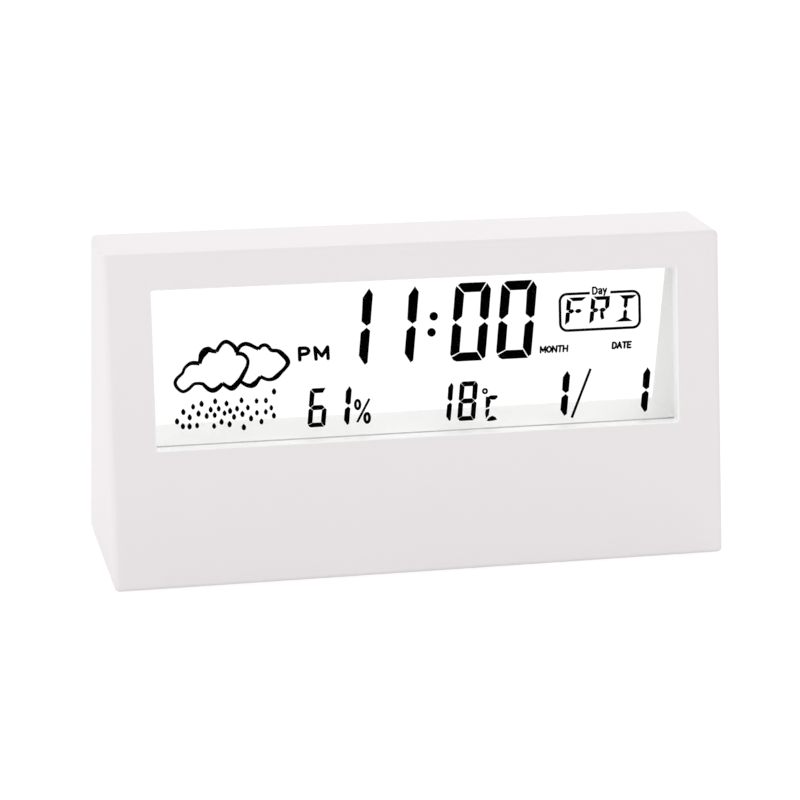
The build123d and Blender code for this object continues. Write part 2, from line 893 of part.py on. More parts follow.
def make_ribbon():
    """The flat cable from the key board to the main board."""
    x = button_x[1]
    key_height = (key_board_low + key_board_high) / 2
    board_height = (board_low + board_high) / 2
    points = [
        back_place(x, key_height, key_board_far).position,
        back_place(x, key_height, key_board_far + ribbon_stub_length).position,
        front_place(x, board_height, board_far + ribbon_stub_length).position,
        front_place(x, board_height, board_far).position,
    ]
    path = FilletPolyline(*points, radius=ribbon_bend_share * ribbon_stub_length)
    start = Plane(origin=path @ 0, x_dir=(1, 0, 0), z_dir=path % 0)
    return sweep(start * Rectangle(ribbon_width, ribbon_thickness), path=path)


def tube(points, radius):
    """A round lead along straight runs, with turns as large as the shortest run allows."""
    places = [Vector(point) for point in points]
    shortest = min((end - start).length for start, end in zip(places, places[1:]))
    path = FilletPolyline(*places, radius=lead_bend_share * shortest)
    section = Plane(origin=path @ 0, z_dir=path % 0) * Circle(radius)
    return sweep(section, path=path)


def make_battery_lead(x, y):
    """A lead from the side of a solder tab to the main board."""
    height = tab_top - tab_width / 2
    slope_height = front_slope_at(height, board_far)
    end = front_place(x, slope_height, board_far).position
    before = front_place(x, slope_height, board_far + lead_reach_length).position
    points = [(bay_right, y, height), (x, y, height), before, end]
    return tube(points, lead_radius)


def make_buzzer_lead(x, start):
    """A lead from the buzzer up and forward to the main board."""
    height = start + buzzer_lead_height
    slope_height = front_slope_at(height, board_far)
    end = front_place(x, slope_height, board_far).position
    before = front_place(x, slope_height, board_far + lead_reach_length).position
    points = [(x, buzzer_y, start), (x, buzzer_y, height), before, end]
    return tube(points, buzzer_lead_radius)


def make_foot(x, y):
    foot = upright(foot_radius, 0, case_bottom + foot_recess, x, y)
    return fillet(foot.edges().filter_by(GeomType.CIRCLE).sort_by(Axis.Z)[0], foot_edge_radius)


def screws_from_behind(places, seat, length):
    """Screws driven forward, towards the front face."""
    return [front_place(x, height, seat) * screw(length) for x, height in places]


def screws_from_back(places, seat, length):
    """Screws driven square to the back face, with their heads at the depth of the seat."""
    return [back_place(x, height, seat) * screw(length) for x, height in places]


def save(name, shape):
    """Write one node; a list of solids becomes one group."""
    if isinstance(shape, list):
        shape = Compound(children=shape)
    export_step(shape, f"parts/{name}.step")


save("front_case", make_front_case())
save("rear_cover", make_rear_cover())
save("base_tray", make_base_tray())
save("display_tunnel", make_display_tunnel())

window = glass_sheet(glass_low, window_near, window_thickness, 0)
front_polarizer = glass_sheet(glass_low, front_polarizer_near, polarizer_thickness, polarizer_inset)
rear_polarizer = glass_sheet(glass_low, rear_polarizer_near, polarizer_thickness, polarizer_inset)
save("window_tape", make_window_tape())
save("display_window", window)
save("lcd_front_polarizer", front_polarizer)
save("lcd_front_glass", glass_sheet(front_glass_low, front_glass_near, glass_thickness, 0))
save("lcd_crystal_layer", make_crystal_layer())
save("lcd_edge_seal", ring_sheet(crystal_near, crystal_thickness, seal_width))
save("lcd_rear_glass", glass_sheet(glass_low, rear_glass_near, glass_thickness, 0))
save("lcd_rear_polarizer", rear_polarizer)

save("elastomer_connector", make_connector())
save("main_board", make_main_board())
save("chip_blob", make_chip_blob())
save("watch_crystal", make_watch_crystal())
save("chip_capacitors", make_chip_capacitors())

tunnel_seat = ear_near + ear_thickness
tray_screws = [Pos(x, y, case_bottom + head_height) * screw(long_screw) for x, y in base_screws]
key_screw_solids = [
    back_place(x, height, key_board_far) * Rot(180, 0, 0) * screw(short_screw)
    for x, height in key_screws
]
save("board_screws", screws_from_behind(board_screws, board_far, short_screw))
save("tunnel_screws", screws_from_behind(tunnel_screws, tunnel_seat, short_screw))
save("cover_screws", screws_from_back(cover_screws, head_height, long_screw))
save("base_screws", tray_screws)
save("key_board_screws", key_screw_solids)
save("rubber_feet", [make_foot(x, y) for x, y in feet])

save("key_board", make_key_board())
save("key_switches", make_key_switches())
for name, x in zip(button_names, button_x):
    save(f"{name}_button", make_button(x))
    save(f"{name}_plunger", make_plunger(x))
save("humidity_sensor", make_humidity_sensor())
save("thermistor", make_thermistor())
save("ribbon_cable", make_ribbon())

disc_top = buzzer_top + buzzer_disc_thickness
plate_lead_x = buzzer_offset - buzzer_radius + buzzer_seat_width
save("buzzer_plate", upright(buzzer_radius, buzzer_seat, buzzer_top, buzzer_offset, buzzer_y))
save("buzzer_disc", upright(buzzer_disc_radius, buzzer_top, disc_top, buzzer_offset, buzzer_y))
save("buzzer_plate_lead", make_buzzer_lead(plate_lead_x, buzzer_top))
save("buzzer_disc_lead", make_buzzer_lead(buzzer_offset + disc_lead_offset, disc_top))

save("front_cell", make_cell(front_cell_y, turned=False))
save("rear_cell", make_cell(rear_cell_y, turned=True))
save("positive_contact", make_terminal(front_cell_y))
save("negative_contact", make_terminal(rear_cell_y))
save("bridge_contact", make_bridge_contact())
save("negative_spring", make_spring(rear_cell_y, at_right=True))
save("bridge_spring", make_spring(front_cell_y, at_right=False))
save("battery_door", make_battery_door())
save("red_lead", make_battery_lead(red_lead_x, front_cell_y))
save("black_lead", make_battery_lead(black_lead_x, rear_cell_y))
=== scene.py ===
# %% [markdown]
# # A see-through weather clock
# The clock's solids come from its CAD model as a fixed frame. This lesson gives them their
# finishes, draws the dark segments of the transparent display, and lights and frames the scene.
# Everything is in metres, in the CAD model's own frame: X to the right, Y to the back, Z up.

# %% Load the frame
import json
import math

import bmesh
import bpy
from mathutils import Matrix, Vector


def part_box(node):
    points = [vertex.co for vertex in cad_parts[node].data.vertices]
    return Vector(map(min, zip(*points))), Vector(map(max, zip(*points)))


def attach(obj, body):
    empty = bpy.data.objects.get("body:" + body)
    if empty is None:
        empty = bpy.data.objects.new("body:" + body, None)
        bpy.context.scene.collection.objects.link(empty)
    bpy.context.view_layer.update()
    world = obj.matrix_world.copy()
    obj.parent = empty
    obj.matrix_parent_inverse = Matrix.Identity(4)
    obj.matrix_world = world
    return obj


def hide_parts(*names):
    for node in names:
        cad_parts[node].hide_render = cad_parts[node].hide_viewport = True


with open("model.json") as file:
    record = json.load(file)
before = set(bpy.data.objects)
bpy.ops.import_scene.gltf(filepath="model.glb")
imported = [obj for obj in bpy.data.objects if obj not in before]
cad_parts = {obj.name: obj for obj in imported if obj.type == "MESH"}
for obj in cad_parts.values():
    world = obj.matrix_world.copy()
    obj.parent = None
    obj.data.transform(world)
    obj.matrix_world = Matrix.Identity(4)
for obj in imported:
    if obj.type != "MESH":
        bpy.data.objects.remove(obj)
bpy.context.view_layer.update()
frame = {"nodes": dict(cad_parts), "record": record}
mm = 0.001

# %% [markdown]
# ## Camera
# The photograph looks at the clock from its left and from slightly above, with a long lens. The
# view was worked out from the directions of the case's edges. A camera looks along its own -Z,
# so the rotation is built from three arrows: its right, its up, and back towards the camera.

# %% Camera
view_azimuth = math.radians(-12.83)
view_elevation = math.radians(16.37)
view_roll = math.radians(0.575)
view_distance = 606.0 * mm
view_target = Vector((-1.63, -2.41, 33.43)) * mm
image_width_px = 800
focal_px = 2799.3
sensor_width_mm = 36.0
nearest_seen = 0.01
farthest_seen = 20

back_arrow = Vector((
    math.sin(view_azimuth) * math.cos(view_elevation),
    -math.cos(view_azimuth) * math.cos(view_elevation),
    math.sin(view_elevation),
))
level_right = Vector((math.cos(view_azimuth), math.sin(view_azimuth), 0))
level_up = back_arrow.cross(level_right)
right_arrow = level_right * math.cos(view_roll) + level_up * math.sin(view_roll)
up_arrow = level_up * math.cos(view_roll) - level_right * math.sin(view_roll)


def new_object(name, data):
    """An object in the scene, at the origin until it is moved."""
    thing = bpy.data.objects.new(name, data)
    bpy.context.scene.collection.objects.link(thing)
    return thing


camera_data = bpy.data.cameras.new("photo_camera")
camera_data.sensor_width = sensor_width_mm
camera_data.lens = sensor_width_mm * focal_px / image_width_px
camera_data.clip_start = nearest_seen
camera_data.clip_end = farthest_seen
camera = new_object("photo_camera", camera_data)
turn = Matrix((right_arrow, up_arrow, back_arrow)).transposed().to_4x4()
camera.matrix_world = Matrix.Translation(view_target + back_arrow * view_distance) @ turn
bpy.context.scene.camera = camera
print("lens in mm:", round(camera_data.lens, 1))

# %% [markdown]
# ## Background and light
# The photograph's background is pure white, and it also fills the display, because the clock is
# see-through. So the world is white to the camera and in reflections, and a little dimmer as a
# light. Four large soft lamps add what makes the top and the left side paler than the front.

# %% Nodes that calculate and mix
def link(tree, start, end):
    """Join an output to an input."""
    tree.links.new(start, end)


def feed(tree, socket, value):
    """Give a socket a link, or a value of its own."""
    if isinstance(value, bpy.types.NodeSocket):
        link(tree, value, socket)
    else:
        socket.default_value = value


def calculate(tree, operation, *values):
    """The result of a Math node on sockets and numbers."""
    node = tree.nodes.new("ShaderNodeMath")
    node.operation = operation
    for socket, value in zip(node.inputs, values):
        feed(tree, socket, value)
    return node.outputs[0]


def mix_colours(tree, factor, first, second):
    """The first colour at a factor of 0, the second at 1."""
    mix = tree.nodes.new("ShaderNodeMix")
    mix.data_type = "RGBA"
    feed(tree, mix.inputs["Factor"], factor)
    feed(tree, mix.inputs[6], first)
    feed(tree, mix.inputs[7], second)
    return mix.outputs[2]


def mix_shaders(tree, factor, first, second):
    """The first shader at a factor of 0, the second at 1."""
    mix = tree.nodes.new("ShaderNodeMixShader")
    for socket, start in zip(mix.inputs, (factor, first, second)):
        link(tree, start, socket)
    return mix.outputs[0]


def feed_all(tree, node, **values):
    """Feed a node's sockets by name, where an underscore stands for a space."""
    for name, value in values.items():
        feed(tree, node.inputs[name.replace("_", " ")], value)
    return node


def new_node(tree, kind, **values):
    """A new node with its sockets fed."""
    return feed_all(tree, tree.nodes.new(kind), **values)


def plain_shader(tree, kind, colour, **values):
    """The output of a shader node with one colour and other values of its own."""
    return new_node(tree, kind, Color=colour, **values).outputs[0]


def seen_directly(tree):
    """A value of 1 for rays that show the background: from the camera, off gloss, through glass."""
    path = tree.nodes.new("ShaderNodeLightPath").outputs
    seen = path["Is Camera Ray"]
    for name in ("Is Glossy Ray", "Is Transmission Ray"):
        seen = calculate(tree, "MAXIMUM", seen, path[name])
    return seen


# %% World
lighting_strength = 0.81
white_strength = 1.0
pure_white = (1, 1, 1, 1)

world = bpy.data.worlds.new("white_studio")
world.use_nodes = True
world_tree = world.node_tree
world_tree.nodes.remove(world_tree.nodes["Background"])
dimmer = plain_shader(world_tree, "ShaderNodeBackground", pure_white, Strength=lighting_strength)
bright = plain_shader(world_tree, "ShaderNodeBackground", pure_white, Strength=white_strength)
either = mix_shaders(world_tree, seen_directly(world_tree), dimmer, bright)
link(world_tree, either, world_tree.nodes["World Output"].inputs["Surface"])
bpy.context.scene.world = world
bpy.context.scene.view_settings.view_transform = "Standard"
print("world made, lighting strength", lighting_strength)

# %% [markdown]
# An area lamp's power is in watts, so it goes with the square of its distance. Each lamp here is
# nearly as large as its distance, which makes its shadows so soft that they almost vanish. The one
# behind shines through the clock onto the floor of its tunnel. A lamp has a place, a power, and
# whether it shows in reflections: the two that would leave a glare on the top don't.

# %% Lamps
lamp_size = 0.8
lamp_target = Vector((0, 0, 35 * mm))
lamp_plan = {
    "lamp_above": ((-0.1, -0.5, 0.9), 0.6, True),
    "lamp_behind": ((0.4, 0.8, 0.6), 4.2, False),
    "lamp_left": ((-1.0, -0.1, 0.3), 2.3, False),
    "lamp_front": ((0.1, -1.0, 0.15), 1.35, True),
}
for lamp_name, (place, power, reflected) in lamp_plan.items():
    lamp_data = bpy.data.lights.new(lamp_name, "AREA")
    lamp_data.size = lamp_size
    lamp_data.energy = power
    lamp = new_object(lamp_name, lamp_data)
    lamp.location = place
    lamp.rotation_euler = (lamp_target - Vector(place)).to_track_quat("-Z", "Y").to_euler()
    lamp.visible_glossy = reflected
print("lamps:", len(lamp_plan))

# %% [markdown]
# The floor is mostly a plain white to the camera, with a small part of a true matte surface in
# it, and that part keeps the faint shadow that the clock stands in.

# %% Floor
floor_half = 1.5
floor_colour = (0.9, 0.9, 0.9, 1)
floor_glow_strength = 1.07
shadow_share = 0.1


def plain_mesh(name, corners, faces):
    """A mesh from its corners and the faces between them."""
    mesh = bpy.data.meshes.new(name)
    mesh.from_pydata([tuple(corner) for corner in corners], [], faces)
    return mesh


floor_corners = [(-floor_half, -floor_half, 0), (floor_half, -floor_half, 0)]
floor_corners += [(floor_half, floor_half, 0), (-floor_half, floor_half, 0)]
floor_mesh = plain_mesh("floor", floor_corners, [(0, 1, 2, 3)])
floor = new_object("floor", floor_mesh)

floor_finish = bpy.data.materials.new("white_floor")
floor_finish.use_nodes = True
floor_tree = floor_finish.node_tree
floor_tree.nodes.remove(floor_tree.nodes["Principled BSDF"])
matte = plain_shader(floor_tree, "ShaderNodeBsdfDiffuse", floor_colour)
glow = plain_shader(floor_tree, "ShaderNodeEmission", pure_white, Strength=floor_glow_strength)
share = calculate(floor_tree, "MULTIPLY", seen_directly(floor_tree), 1 - shadow_share)
blend = mix_shaders(floor_tree, share, matte, glow)
link(floor_tree, blend, floor_tree.nodes["Material Output"].inputs["Surface"])
floor_mesh.materials.append(floor_finish)
print("floor made, keeping", shadow_share, "of its shadow")

# %% [markdown]
# ## Shared effects
# Moulded plastic, rubber and metal all show a fine uneven grain, and a very slight drift of tone.
# Both are shader node groups, built once, with their own values in each material.


# %% Node groups
def new_group(name, inputs, outputs):
    """An empty shader node group with its ends, and its sockets from name: kind."""
    group = bpy.data.node_groups.new(name, "ShaderNodeTree")
    for socket, kind in inputs.items():
        group.interface.new_socket(socket, in_out="INPUT", socket_type=kind)
    for socket, kind in outputs.items():
        group.interface.new_socket(socket, in_out="OUTPUT", socket_type=kind)
    start = group.nodes.new("NodeGroupInput")
    end = group.nodes.new("NodeGroupOutput")
    return group, start, end


def sized_noise(group, start, size_name, **settings):
    """A noise at the group's place, whose waves are as long as one of its sockets says."""
    per_metre = calculate(group, "DIVIDE", 1.0, start.outputs[size_name])
    place = start.outputs["Place"]
    noise = new_node(group, "ShaderNodeTexNoise", Vector=place, Scale=per_metre, **settings)
    return noise.outputs["Fac"]


def remap(tree, value, **ends):
    """A value moved from one range to another."""
    return new_node(tree, "ShaderNodeMapRange", Value=value, **ends).outputs["Result"]


# %% Grain
number = "NodeSocketFloat"
colour = "NodeSocketColor"
arrow = "NodeSocketVector"
grain_detail = 3.0
grain_sharpness = 0.6
least_grain = 0.3
most_grain = 0.7


def make_surface_grain():
    """Noise of a given size in metres, as a height and as a roughness between two values."""
    group, start, end = new_group(
        "surface_grain",
        {"Place": arrow, "Grain Size": number, "Smoothest": number, "Roughest": number},
        {"Roughness": number, "Height": number},
    )
    height = sized_noise(
        group, start, "Grain Size", Detail=grain_detail, Roughness=grain_sharpness
    )
    smoothest, roughest = start.outputs["Smoothest"], start.outputs["Roughest"]
    roughness = remap(
        group, height, From_Min=least_grain, From_Max=most_grain, To_Min=smoothest, To_Max=roughest
    )
    feed_all(group, end, Roughness=roughness, Height=height)
    return group


surface_grain = make_surface_grain()
print("group:", surface_grain.name)

# %% Drift of tone
drift_detail = 2.0


def make_tone_drift():
    """A colour that drifts a little towards a second one over a given size in metres."""
    group, start, end = new_group(
        "tone_drift",
        {"Place": arrow, "Drift Size": number, "Main": colour, "Other": colour},
        {"Color": colour},
    )
    factor = sized_noise(group, start, "Drift Size", Detail=drift_detail)
    drifted = mix_colours(group, factor, start.outputs["Main"], start.outputs["Other"])
    feed_all(group, end, Color=drifted)
    return group


tone_drift = make_tone_drift()
print("group:", tone_drift.name)

# %% [markdown]
# ## Plain finishes
# A finish is its colour, the second tone it drifts to, how smooth and how rough it is, the size
# of its grain and how deep that stands. The case is satin white ABS with a warm cast. The inner
# tunnel is a more matte, neutral white, so that no reflection spoils the view through it, and it is
# painted brighter than the case: partly painted light, standing in for light the deep tunnel lacks.
# The seal round the glass is near white, partly painted light that lightens the shade in its gap.
# The display's segments lie under glass, so they have no gloss of their own.


# %% A finish with grain
def start_material(name):
    """A new material with its node tree, its shader and the place of the surface point."""
    material = bpy.data.materials.new(name)
    material.use_nodes = True
    tree = material.node_tree
    place = tree.nodes.new("ShaderNodeTexCoord").outputs["Object"]
    return material, tree, tree.nodes["Principled BSDF"], place


def place_group(tree, group, place, **values):
    """The outputs of a shared group in a material, with its own values."""
    node = tree.nodes.new("ShaderNodeGroup")
    node.node_tree = group
    return feed_all(tree, node, Place=place, **values).outputs


def add_bump(tree, shader, height, depth):
    """Raise a surface where a height is large, by up to a depth in millimetres."""
    bump = new_node(tree, "ShaderNodeBump", Strength=1.0, Distance=depth * mm, Height=height)
    feed_all(tree, shader, Normal=bump.outputs["Normal"])


def add_grain(tree, shader, place, smoothest, roughest, size, depth):
    """Give a shader its roughness and its bump from the shared grain, sized in millimetres."""
    grain = place_group(
        tree, surface_grain, place, Grain_Size=size * mm, Smoothest=smoothest, Roughest=roughest
    )
    feed_all(tree, shader, Roughness=grain["Roughness"])
    add_bump(tree, shader, grain["Height"], depth)


drift_size = 9 * mm


def plain_finish(name, main, other, *grain, metal=0.0):
    """A finish from its two tones and the values of its grain."""
    material, tree, shader, place = start_material(name)
    add_grain(tree, shader, place, *grain)
    drift = place_group(
        tree, tone_drift, place, Drift_Size=drift_size, Main=(*main, 1), Other=(*other, 1)
    )
    feed_all(tree, shader, Base_Color=drift["Color"], Metallic=metal)
    return material


# %% Plain finishes
plain_plan = {
    "white_shell": ((0.805, 0.772, 0.782), (0.798, 0.765, 0.775), 0.36, 0.46, 0.35, 0.002),
    # white_inner is brighter than the case: partly painted light for the dimly lit tunnel.
    "white_inner": ((0.975, 0.975, 0.97), (0.965, 0.965, 0.96), 0.5, 0.62, 0.4, 0.003),
    "button_plastic": ((0.8, 0.768, 0.778), (0.79, 0.758, 0.768), 0.4, 0.5, 0.3, 0.003),
    # edge_seal's near white is partly painted light, lightening the shade in the gap round the glass.
    "edge_seal": ((0.97, 0.965, 0.955), (0.95, 0.945, 0.935), 0.45, 0.6, 0.5, 0.01),
    "tape": ((0.9, 0.9, 0.89), (0.86, 0.86, 0.85), 0.6, 0.75, 0.6, 0.01),
    "black_epoxy": ((0.02, 0.02, 0.02), (0.03, 0.03, 0.03), 0.15, 0.3, 1.2, 0.03),
    "chip_ceramic": ((0.5, 0.36, 0.22), (0.62, 0.5, 0.36), 0.4, 0.6, 0.3, 0.01),
    "foot_rubber": ((0.035, 0.035, 0.037), (0.05, 0.05, 0.05), 0.7, 0.85, 0.25, 0.02),
    "switch_body": ((0.03, 0.03, 0.032), (0.045, 0.045, 0.045), 0.45, 0.6, 0.3, 0.01),
    "switch_plunger": ((0.05, 0.05, 0.05), (0.07, 0.07, 0.07), 0.35, 0.5, 0.3, 0.01),
    "sensor_blue": ((0.12, 0.3, 0.55), (0.16, 0.36, 0.6), 0.4, 0.55, 0.4, 0.01),
    "bead_epoxy": ((0.03, 0.03, 0.03), (0.05, 0.04, 0.04), 0.2, 0.35, 0.5, 0.02),
    "buzzer_ceramic": ((0.8, 0.78, 0.7), (0.72, 0.7, 0.62), 0.35, 0.55, 0.3, 0.005),
    "red_wire": ((0.62, 0.03, 0.02), (0.5, 0.02, 0.02), 0.35, 0.5, 0.4, 0.01),
    "black_wire": ((0.025, 0.025, 0.025), (0.04, 0.04, 0.04), 0.35, 0.5, 0.4, 0.01),
    "lcd_segments": ((0.001, 0.001, 0.001), (0.002, 0.002, 0.002), 0.5, 0.6, 0.3, 0.001),
}
metal_plan = {
    "bright_metal": ((0.78, 0.76, 0.72), (0.7, 0.69, 0.66), 0.22, 0.4, 0.25, 0.003),
    "spring_steel": ((0.7, 0.69, 0.67), (0.6, 0.6, 0.59), 0.2, 0.35, 0.2, 0.002),
    "screw_steel": ((0.62, 0.62, 0.63), (0.5, 0.5, 0.52), 0.25, 0.42, 0.2, 0.003),
    "buzzer_brass": ((0.83, 0.62, 0.3), (0.74, 0.52, 0.24), 0.25, 0.4, 0.6, 0.003),
}
finishes = {name: plain_finish(name, *values) for name, values in plain_plan.items()}
for name, values in metal_plan.items():
    finishes[name] = plain_finish(name, *values, metal=1.0)
segment_shader = finishes["lcd_segments"].node_tree.nodes["Principled BSDF"]
segment_shader.inputs["Specular IOR Level"].default_value = 0.0
print("plain finishes:", len(finishes))

# %% [markdown]
# ## Striped finishes
# The elastomer connector is made of thin conducting and insulating layers in turn, and the ribbon
# cable is a row of wires side by side. Both show stripes across X. A sine of the place along X
# gives the stripe, and the same wave gives the ribbon its ridges.


# %% Striped finishes
stripe_edges = (0.45, 0.55)
striped_plan = {
    "elastomer": ((0.03, 0.03, 0.03), (0.7, 0.35, 0.42), 0.5, 0.0, 0.55),
    "ribbon_grey": ((0.35, 0.35, 0.37), (0.6, 0.6, 0.62), 1.27, 0.15, 0.4),
}


def split_place(tree, place):
    """The X, Y and Z of a place."""
    return new_node(tree, "ShaderNodeSeparateXYZ", Vector=place).outputs


def colour_ramp(tree, factor, bands, steps="LINEAR"):
    """A colour that changes along a factor, by bands of (start, tone)."""
    ramp = new_node(tree, "ShaderNodeValToRGB", Fac=factor)
    ramp.color_ramp.interpolation = steps
    elements = ramp.color_ramp.elements
    # The last comes first, because a ramp keeps its elements in order.
    for element, (start, _) in reversed(list(zip(elements, bands))):
        element.position = start
    for start, _ in bands[len(elements):]:
        elements.new(start)
    for element, (_, tone) in zip(elements, bands):
        element.color = (*tone, 1)
    return ramp.outputs["Color"]


def stripe_wave(tree, place, pitch):
    """A wave from 0 to 1 along X, with one crest for each pitch."""
    angle = calculate(tree, "MULTIPLY", split_place(tree, place)["X"], 2 * math.pi / pitch)
    return calculate(tree, "MULTIPLY_ADD", calculate(tree, "SINE", angle), 0.5, 0.5)


def striped_finish(name, first, second, pitch, ridge, rough):
    """Two tones in turn along X, with the pitch and the ridges' height in millimetres."""
    material, tree, shader, place = start_material(name)
    wave = stripe_wave(tree, place, pitch * mm)
    tones = colour_ramp(tree, wave, list(zip(stripe_edges, (first, second))))
    feed_all(tree, shader, Base_Color=tones, Roughness=rough)
    add_bump(tree, shader, wave, ridge)
    return material


for name, values in striped_plan.items():
    finishes[name] = striped_finish(name, *values)
print("striped finishes:", sorted(striped_plan))

# %% [markdown]
# ## Circuit board
# Under a green solder mask the copper tracks show as a paler green. A brick pattern with thin
# joints, read across the board's face, looks like tracks that run in straight lines and turn.


# %% Circuit board
track_pattern = {
    "Color1": (0.01, 0.11, 0.045, 1),
    "Color2": (0.012, 0.13, 0.05, 1),
    "Mortar": (0.04, 0.26, 0.11, 1),
    "Scale": 130.0,
    "Mortar_Size": 0.035,
    "Brick_Width": 0.9,
    "Row_Height": 0.32,
}
board_grain = (0.3, 0.42, 0.5, 0.004)


def board_finish():
    """Green solder mask over tracks, read across the board's face."""
    material, tree, shader, place = start_material("circuit_board")
    on_end = (math.radians(90), 0, 0)
    flat = new_node(tree, "ShaderNodeMapping", Vector=place, Rotation=on_end).outputs["Vector"]
    tracks = new_node(tree, "ShaderNodeTexBrick", Vector=flat, **track_pattern)
    feed_all(tree, shader, Base_Color=tracks.outputs["Color"])
    add_grain(tree, shader, place, *board_grain)
    return material


finishes["circuit_board"] = board_finish()
print("circuit board made")

# %% [markdown]
# ## Cells
# Each cell lies along X. Its jacket has a dark part and a copper-coloured band at the positive
# end, and bare steel shows at both ends. The colours change at places along X, which come from
# the cell's own box, so each cell has its own material.


# %% Cells
cell_steel = (0.7, 0.7, 0.69)
cell_bands = [
    (0.0, cell_steel),
    (0.012, (0.035, 0.042, 0.05)),
    (0.7, (0.62, 0.36, 0.16)),
    (0.955, cell_steel),
]
cell_metal = 0.6
cell_grain = (0.25, 0.35, 0.6, 0.002)


def cell_finish(node, nub_at_right):
    """A cell's bands, from its flat end to its nub."""
    low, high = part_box(node)
    flat_end, nub_end = (low.x, high.x) if nub_at_right else (high.x, low.x)
    material, tree, shader, place = start_material(node + "_jacket")
    along = remap(tree, split_place(tree, place)["X"], From_Min=flat_end, From_Max=nub_end)
    tones = colour_ramp(tree, along, cell_bands, steps="CONSTANT")
    feed_all(tree, shader, Base_Color=tones, Metallic=cell_metal)
    add_grain(tree, shader, place, *cell_grain)
    return material


cell_finishes = {
    "front_cell": cell_finish("front_cell", nub_at_right=False),
    "rear_cell": cell_finish("rear_cell", nub_at_right=True),
}
print("cell jackets:", sorted(cell_finishes))

# %% [markdown]
# ## Clear sheets
# The window, the two glasses and the polarizers lie flat on each other, which true refraction
# doesn't like. A thin flat sheet hardly bends a view anyway, so each one is a see-through shader
# with a mirror in it that grows as the view grazes the sheet: nothing head on, as behind a coated
# display, and everything at the edge. The fifth power is a well known shortcut for that.
# A view into the clock and out at its back passes ten faces of such sheets, and by default Cycles
# stops at eight, so the scene lets it pass more.


# %% Clear sheets
most_clear_faces = 32
graze_power = 5.0
clear_plan = {
    "clear_window": ((0.999, 1.0, 0.999, 1), 0.02),
    "lcd_glass": ((0.999, 1.0, 0.999, 1), 0.02),
    "polarizer": ((0.999, 0.999, 0.999, 1), 0.06),
}


def clear_finish(name, tint, gloss_rough):
    """A see-through sheet that turns into a mirror as the view grazes it."""
    material, tree, shader, _ = start_material(name)
    tree.nodes.remove(shader)
    facing = tree.nodes.new("ShaderNodeLayerWeight").outputs["Facing"]
    clear = plain_shader(tree, "ShaderNodeBsdfTransparent", tint)
    gloss = plain_shader(tree, "ShaderNodeBsdfGlossy", pure_white, Roughness=gloss_rough)
    mix = mix_shaders(tree, calculate(tree, "POWER", facing, graze_power), clear, gloss)
    link(tree, mix, tree.nodes["Material Output"].inputs["Surface"])
    return material


bpy.context.scene.cycles.transparent_max_bounces = most_clear_faces
for name, (tint, gloss_rough) in clear_plan.items():
    finishes[name] = clear_finish(name, tint, gloss_rough)
print("clear finishes:", sorted(clear_plan))

# %% [markdown]
# ## Dressing the CAD nodes
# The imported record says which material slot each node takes. A node keeps its own mesh and only
# gets the finish.

# %% Dress every node
for row in frame["record"]["subparts"]:
    node = row["node"]
    finish = cell_finishes.get(node) or finishes[row["material_slot"]]
    mesh = frame["nodes"][node].data
    mesh.materials.clear()
    mesh.materials.append(finish)

# %% [markdown]
# ## The display's own plane
# The dark segments lie in the liquid crystal layer, which leans back with the glass. The layer's
# box gives where it is: its front lower edge is at the lowest Y, and the lean comes from the
# ratio of its sides, in a few rounds, because the layer's own thickness is in both of them. After
# that every segment is placed by x from the middle and h up the glass, with h at zero a little
# below the layer, where the glass still hides behind the case. The heights were measured on a
# slightly lower drawing, so a stretch by half a per cent fits them to the glass.

# %% Display plane
layer_low, layer_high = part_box("lcd_crystal_layer")
layer_thickness = 0.1 * mm
segment_inset = 0.01 * mm
plate_thickness = layer_thickness - 2 * segment_inset
first_lean = math.radians(9.6)
lean_rounds = 4
drawing_drop = 0.93 * mm
drawing_stretch = 1.0053
layer_span = layer_high - layer_low
lean = first_lean
for _ in range(lean_rounds):
    glass_height = (layer_span.z - layer_thickness * math.sin(lean)) / math.cos(lean)
    lean = math.asin((layer_span.y - layer_thickness * math.cos(lean)) / glass_height)
up_glass = Vector((0, math.sin(lean), math.cos(lean)))
into_glass = Vector((0, math.cos(lean), -math.sin(lean)))
layer_edge = Vector((0, layer_low.y, layer_low.z + layer_thickness * math.sin(lean)))
layer_edge += into_glass * segment_inset
drawing_zero = layer_edge - up_glass * drawing_drop
print("lean in degrees:", round(math.degrees(lean), 2), "height in mm:", round(glass_height / mm, 2))


def on_glass(x, h):
    """A point on the front of the segments, from millimetres across and up."""
    return drawing_zero + Vector((x * mm, 0, 0)) + up_glass * (h * drawing_stretch * mm)


# %% [markdown]
# ## Rim of the window
# Round the display the case's edge is a purer white than its face. That white is painted light: a
# highlight standing in for the light that falls on the rim of the opening. It is the same solid, so
# the shell's finish changes inside a box round the opening. Three comparisons, of X, of Z and of
# the depth behind the face, find the points in the box.

# %% Paint light on the rim
# The rim's purer white is painted light: a highlight where the opening's rim catches light.
rim_painted_light = (0.93, 0.93, 0.925)
glass_behind_face = 4.95 * mm
rim_depth = 2.6 * mm
rim_start = 0.02 * mm
opening_half_width = 57.0 * mm
opening_middle = 46.15 * mm
opening_half_height = 16.8 * mm


